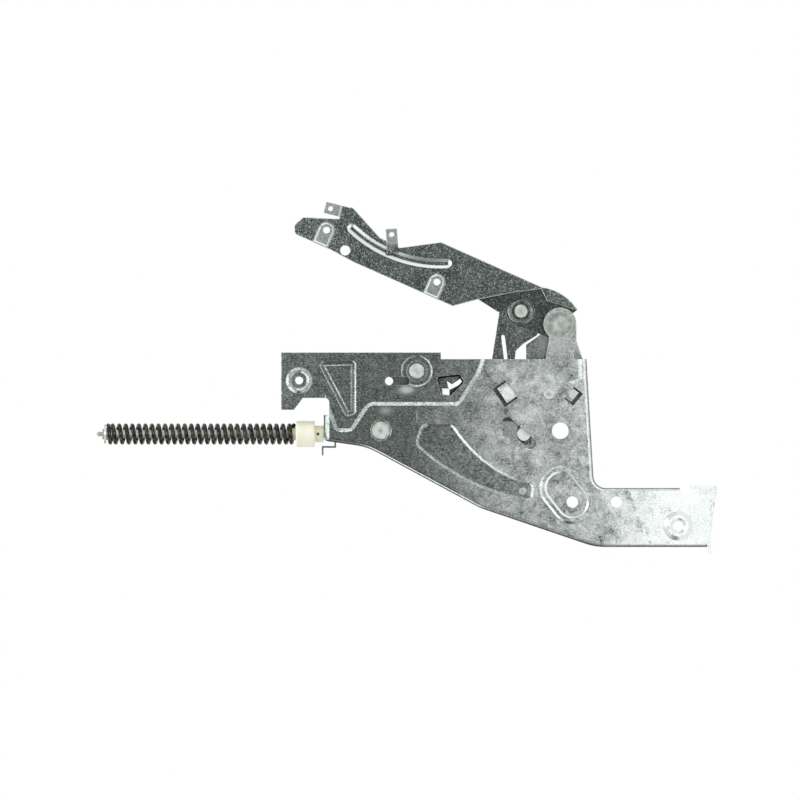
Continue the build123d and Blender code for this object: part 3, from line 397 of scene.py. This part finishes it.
def turnedSteel(name, look, centre):
    material, tree, shader, place = startMaterial(name)
    own = addNode(tree, "ShaderNodeMapping", {"Location": [-c for c in centre]}, {"Vector": place})
    rings = addNode(tree, "ShaderNodeTexWave",
                    {"wave_type": "RINGS", "rings_direction": "Y", "Scale": perMm(look["ringMm"]) * ringTurn,
                     "Distortion": 1.5, "Detail": 2.0}, {"Vector": own.outputs[0]})
    marks = addNode(tree, "ShaderNodeTexNoise", {"Scale": perMm(look["markMm"]), "Detail": 4.0},
                    {"Vector": place})
    share = addNode(tree, "ShaderNodeMath", {"operation": "MULTIPLY_ADD", 1: look["ringShare"]},
                    {0: rings.outputs["Fac"], 2: marks.outputs["Fac"]})
    shade = addNode(tree, "ShaderNodeMapRange", {1: look["shadeFrom"], 2: look["shadeTo"]},
                    {0: share.outputs[0]})
    colour = addNode(tree, "ShaderNodeMixRGB", {1: linear(look["dark"]), 2: linear(look["light"])},
                     {0: shade.outputs[0]})
    edge = addNode(tree, "ShaderNodeBevel", {"samples": 4, "Radius": look["edgeMm"] / 1000})
    bump = addNode(tree, "ShaderNodeBump", {"Strength": look["bump"], "Distance": look["bumpMm"] / 1000},
                   {"Height": share.outputs[0], "Normal": edge.outputs[0]})
    shader.inputs["Metallic"].default_value = look["metal"]
    shader.inputs["Roughness"].default_value = look["rough"]
    marked = addSpots(tree, place, marks.outputs["Fac"], look["spots"], colour.outputs[0])
    tree.links.new(marked, shader.inputs["Base Color"])
    tree.links.new(bump.outputs[0], shader.inputs["Normal"])
    return material


# Moulded nylon: off-white, a little yellow, slightly translucent, with a fine moulded grain
nylon = {
    "pale": "#f5f5e7", "warm": "#ebe9cd", "warmFrom": 0.35, "warmTo": 0.65, "grainMm": 0.8, "cloudMm": 9,
    "rough": 0.42, "bump": 0.06, "bumpMm": 0.05, "edgeMm": 0.4,
    "ior": 1.53, "soft": 0.15, "softReach": (0.002, 0.0018, 0.0014),
    "spots": [    # painted shade: a dark dot for the inside of a small hole in the neck of the spring bush, mm
        {"at": (59.8, 234.0), "radii": (1.1, 1.1), "ragged": 0.3, "fade": 0.4,
         "share": 0.9, "colour": "#30352f"},
    ],
}


def mouldedNylon(name, look):
    material, tree, shader, place = startMaterial(name)
    cloud = addNode(tree, "ShaderNodeTexNoise", {"Scale": perMm(look["cloudMm"]), "Detail": 2.0},
                    {"Vector": place})
    grain = addNode(tree, "ShaderNodeTexNoise", {"Scale": perMm(look["grainMm"]), "Detail": 2.0},
                    {"Vector": place})
    share = addNode(tree, "ShaderNodeMapRange", {1: look["warmFrom"], 2: look["warmTo"]},
                    {0: cloud.outputs["Fac"]})
    colour = addNode(tree, "ShaderNodeMixRGB", {1: linear(look["pale"]), 2: linear(look["warm"])},
                     {0: share.outputs[0]})
    edge = addNode(tree, "ShaderNodeBevel", {"samples": 4, "Radius": look["edgeMm"] / 1000})
    bump = addNode(tree, "ShaderNodeBump", {"Strength": look["bump"], "Distance": look["bumpMm"] / 1000},
                   {"Height": grain.outputs["Fac"], "Normal": edge.outputs[0]})
    shader.inputs["Roughness"].default_value = look["rough"]
    shader.inputs["IOR"].default_value = look["ior"]
    shader.inputs["Subsurface Weight"].default_value = look["soft"]
    shader.inputs["Subsurface Radius"].default_value = look["softReach"]
    marked = addSpots(tree, place, grain.outputs["Fac"], look["spots"], colour.outputs[0])
    tree.links.new(marked, shader.inputs["Base Color"])
    tree.links.new(bump.outputs[0], shader.inputs["Normal"])
    return material


# Oiled spring steel: nearly black wire with brownish dull patches and a wet gloss
springWire = {
    "dark": "#1c1d18", "wearAndPaintedLight": "#54534a", "wornFrom": 0.4, "wornTo": 0.66, "patchMm": 3,
    "rough": (0.14, 0.28), "metal": 0.9,
}


def oiledSteel(name, look):
    material, tree, shader, place = startMaterial(name)
    patch = addNode(tree, "ShaderNodeTexNoise",
                    {"Scale": perMm(look["patchMm"]), "Detail": 5.0, "Roughness": 0.65}, {"Vector": place})
    share = addNode(tree, "ShaderNodeMapRange", {1: look["wornFrom"], 2: look["wornTo"]},
                    {0: patch.outputs["Fac"]})
    colour = addNode(tree, "ShaderNodeMixRGB", {1: linear(look["dark"]), 2: linear(look["wearAndPaintedLight"])},
                     {0: share.outputs[0]})
    rough = addNode(tree, "ShaderNodeMapRange", {3: look["rough"][0], 4: look["rough"][1]},
                    {0: share.outputs[0]})
    shader.inputs["Metallic"].default_value = look["metal"]
    tree.links.new(colour.outputs[0], shader.inputs["Base Color"])
    tree.links.new(rough.outputs[0], shader.inputs["Roughness"])
    return material


def dress(node, material):
    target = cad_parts[node].data
    target.materials.clear()
    target.materials.append(material)


plateFinish = galvanisedSheet("galvanisedSheet", plateZinc)
armFinish = speckledZinc("armZinc", armZinc)
leverFinish = speckledZinc("leverZinc", leverZinc)
strapFinish = speckledZinc("strapZinc", strapZinc)
nylonFinish = mouldedNylon("mouldedNylon", nylon)
wireFinish = oiledSteel("oiledSpringSteel", springWire)
for node in ("front_side_plate", "rear_side_plate"):
    dress(node, plateFinish)
dress("door_arm", armFinish)
for node in ("lift_link", "spring_crank"):
    dress(node, leverFinish)
dress("tie_strap", strapFinish)
for node in ("spring_bush", "pivot_washers", "arm_sleeve", "yoke_bush"):
    dress(node, nylonFinish)
pinNodes = (
    "main_pivot_pin", "upper_spacer_rivet", "lower_spacer_rivet", "head_rivet", "strap_guide_rivet",
    "crank_stud", "link_rivet", "crank_link_pin", "crank_yoke_pin", "strap_rivet", "spring_rod",
    "spring_retainer",
)
ownSteel = {"main_pivot_pin": pivotSteel, "spring_rod": litRodSteel, "crank_yoke_pin": litYokeSteel}
for node in pinNodes:
    lowCorner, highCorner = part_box(node)
    middle = (lowCorner + highCorner) / 2
    dress(node, turnedSteel("turnedSteel." + node, ownSteel.get(node, pinSteel), middle))
print("finishes on", len(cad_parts), "nodes")


# The balance spring: one long compression spring with a closed coil at each end
balanceSpring = {"wire": 0.0027, "coils": 27, "gap": 0.00012, "sides": 14, "steps": 36}


def makeSpring(look):
    lowCorner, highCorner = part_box("balance_spring")
    axis = (lowCorner + highCorner) / 2
    radius = (highCorner.x - lowCorner.x - look["wire"]) / 2
    closedRise = look["wire"] + look["gap"]
    start = lowCorner.z + look["wire"] / 2
    span = highCorner.z - look["wire"] / 2 - start
    mesh = bmesh.new()
    ring = bmesh.ops.create_circle(mesh, segments=look["sides"], radius=look["wire"] / 2)
    bmesh.ops.rotate(mesh, verts=ring["verts"], matrix=Matrix.Rotation(math.pi / 2, 3, "X"))
    bmesh.ops.translate(mesh, verts=ring["verts"], vec=(radius, 0, 0))
    runs = [(1, closedRise), (look["coils"], span - 2 * closedRise), (1, closedRise)]
    geom = mesh.verts[:] + mesh.edges[:]
    for turns, rise in runs:
        steps = turns * look["steps"]
        spun = bmesh.ops.spin(mesh, geom=geom, cent=(0, 0, 0), axis=(0, 0, 1),
                              dvec=(0, 0, rise / steps), angle=turns * 2 * math.pi, steps=steps)
        geom = spun["geom_last"]
    openEnds = [edge for edge in mesh.edges if edge.is_boundary]
    bmesh.ops.holes_fill(mesh, edges=openEnds, sides=look["sides"])
    bmesh.ops.recalc_face_normals(mesh, faces=mesh.faces)
    bmesh.ops.translate(mesh, verts=mesh.verts, vec=(axis.x, axis.y, start))
    for face in mesh.faces:
        face.smooth = len(face.verts) == 4
    data = bpy.data.meshes.new("balanceSpring")
    mesh.to_mesh(data)
    mesh.free()
    piece = bpy.data.objects.new("balanceSpring", data)
    bpy.context.scene.collection.objects.link(piece)
    data.materials.append(wireFinish)
    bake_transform(piece)
    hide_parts("balance_spring")
    return piece


springPiece = makeSpring(balanceSpring)
print("spring made:", len(springPiece.data.polygons), "faces")


# Pale studio floor below the foot
floorLook = {"size": 4.0, "centreX": 0.08, "drop": 0.002, "colour": "#f4f4f2", "rough": 0.8}
floorMesh = bmesh.new()
bmesh.ops.create_grid(floorMesh, x_segments=1, y_segments=1, size=floorLook["size"] / 2)
floorPlace = Matrix.Translation((floorLook["centreX"], 0, cadBox[0].z - floorLook["drop"]))
bmesh.ops.transform(floorMesh, matrix=floorPlace, verts=floorMesh.verts)
floorData = bpy.data.meshes.new("studioFloor")
floorMesh.to_mesh(floorData)
floorMesh.free()
floor = bpy.data.objects.new("studioFloor", floorData)
bpy.context.scene.collection.objects.link(floor)
floorFinish, floorTree, floorShader = startMaterial("paintedFloor")[:3]
floorShader.inputs["Base Color"].default_value = linear(floorLook["colour"])
floorShader.inputs["Roughness"].default_value = floorLook["rough"]
# metal shows the floor as white as the backdrop, and the floor keeps the object's shadow
floorGlow = addNode(floorTree, "ShaderNodeEmission", {"Color": (1, 1, 1, 1), "Strength": 1.0})
floorRay = addNode(floorTree, "ShaderNodeLightPath")
mirrored = addNode(floorTree, "ShaderNodeMath", {"operation": "MAXIMUM"},
                   {0: floorRay.outputs["Is Glossy Ray"], 1: floorRay.outputs["Is Transmission Ray"]})
floorMix = addNode(floorTree, "ShaderNodeMixShader",
                   links={0: mirrored.outputs[0], 1: floorShader.outputs["BSDF"], 2: floorGlow.outputs[0]})
floorOut = next(node for node in floorTree.nodes if node.type == "OUTPUT_MATERIAL")
floorTree.links.new(floorMix.outputs[0], floorOut.inputs["Surface"])
floorData.materials.append(floorFinish)

# Camera square to the front plate, as in the photograph: the front of the machine is up in the picture
cameraLook = {"centre": (0.0819, 0.1807), "width": 0.52, "distance": 1.2, "clip": (0.01, 20)}
cameraData = bpy.data.cameras.new("photoCamera")
cameraData.type = "ORTHO"
cameraData.ortho_scale = cameraLook["width"]
cameraData.clip_start, cameraData.clip_end = cameraLook["clip"]
camera = bpy.data.objects.new("photoCamera", cameraData)
facing = Matrix(((0, 1, 0), (0, 0, -1), (-1, 0, 0)))
camera.matrix_world = Matrix.Translation(
    (cameraLook["centre"][0], -cameraLook["distance"], cameraLook["centre"][1])) @ facing.to_4x4()
bpy.context.scene.collection.objects.link(camera)
bpy.context.scene.camera = camera

# Studio: a white tent, dim round the camera and below the picture, with soft boxes in front of the plate
worldLook = {
    # place along the depth, from the camera's side at 0 to the backdrop at 1, and the tent's level there
    "rings": [(0.0, 0.18), (0.04, 0.18), (0.1, 0.1), (0.15, 0.28), (0.24, 1.0)],
    "below": 0.12, "belowFrom": (-0.45, -0.85),
}
world = bpy.data.worlds.new("studioTent")
bpy.context.scene.world = world
world.use_nodes = True
tent = world.node_tree
tent.nodes.clear()
direction = addNode(tent, "ShaderNodeTexCoord").outputs["Generated"]
towards = addNode(tent, "ShaderNodeSeparateXYZ", links={0: direction})
away = addNode(tent, "ShaderNodeMapRange", {1: -1.0, 2: 1.0}, {0: towards.outputs["Y"]})
rings = addNode(tent, "ShaderNodeValToRGB", links={0: away.outputs[0]})
stops = rings.color_ramp.elements
while len(stops) < len(worldLook["rings"]):
    stops.new(1.0)
for stop, (share, level) in zip(stops, worldLook["rings"]):
    stop.position = share
    stop.color = (level, level, level, 1.0)
under = addNode(tent, "ShaderNodeMapRange",
                {1: worldLook["belowFrom"][0], 2: worldLook["belowFrom"][1], 3: 1.0, 4: worldLook["below"]},
                {0: towards.outputs["X"]})
cloth = addNode(tent, "ShaderNodeMath", {"operation": "MULTIPLY"},
                {0: rings.outputs["Color"], 1: under.outputs[0]})
inside = addNode(tent, "ShaderNodeBackground", {"Color": (1, 1, 1, 1)}, {"Strength": cloth.outputs[0]})
backdrop = addNode(tent, "ShaderNodeBackground", {"Color": (1, 1, 1, 1), "Strength": 1.0})
seen = addNode(tent, "ShaderNodeLightPath").outputs["Is Camera Ray"]
shown = addNode(tent, "ShaderNodeMixShader", links={0: seen, 1: inside.outputs[0], 2: backdrop.outputs[0]})
addNode(tent, "ShaderNodeOutputWorld", links={"Surface": shown.outputs[0]})

softBoxes = [
    {"name": "footBox", "at": (0.01, -0.15, -0.004), "to": (0.01, 0.0, -0.01),
     "size": (0.26, 0.04), "level": 2.2},
    {"name": "headBox", "at": (0.14, -0.4, 0.45), "to": (0.11, 0.0, 0.29),
     "size": (0.2, 0.28), "level": 2.1},
    {"name": "springBox", "at": (0.08, -0.13, 0.34), "to": (0.06, 0.0, 0.31),
     "size": (0.03, 0.1), "level": 4.0},
    {"name": "lowerStrip", "at": (-0.7, -0.25, 0.75), "to": (0.04, 0.0, 0.14),
     "size": (0.5, 0.7), "level": 1.7},
    {"name": "upperStrip", "at": (1.0, -0.2, 0.45), "to": (0.1, 0.0, 0.2),
     "size": (0.5, 0.9), "level": 0.7},
    {"name": "sideStrip", "at": (0.0, -0.2, 1.0), "to": (0.1, 0.0, 0.15),
     "size": (1.4, 0.5), "level": 1.1},
]
for box in softBoxes:
    lamp = bpy.data.lights.new(box["name"], "AREA")
    lamp.shape = "RECTANGLE"
    lamp.size, lamp.size_y = box["size"]
    lamp.energy = box["level"] * math.pi * box["size"][0] * box["size"][1]
    holder = bpy.data.objects.new(box["name"], lamp)
    aim = Vector(box["to"]) - Vector(box["at"])
    turn = aim.to_track_quat("-Z", "Y").to_matrix().to_4x4()
    holder.matrix_world = Matrix.Translation(box["at"]) @ turn
    holder.visible_camera = False
    bpy.context.scene.collection.objects.link(holder)
bpy.context.scene.view_settings.view_transform = "Standard"
print("stage and lights set")
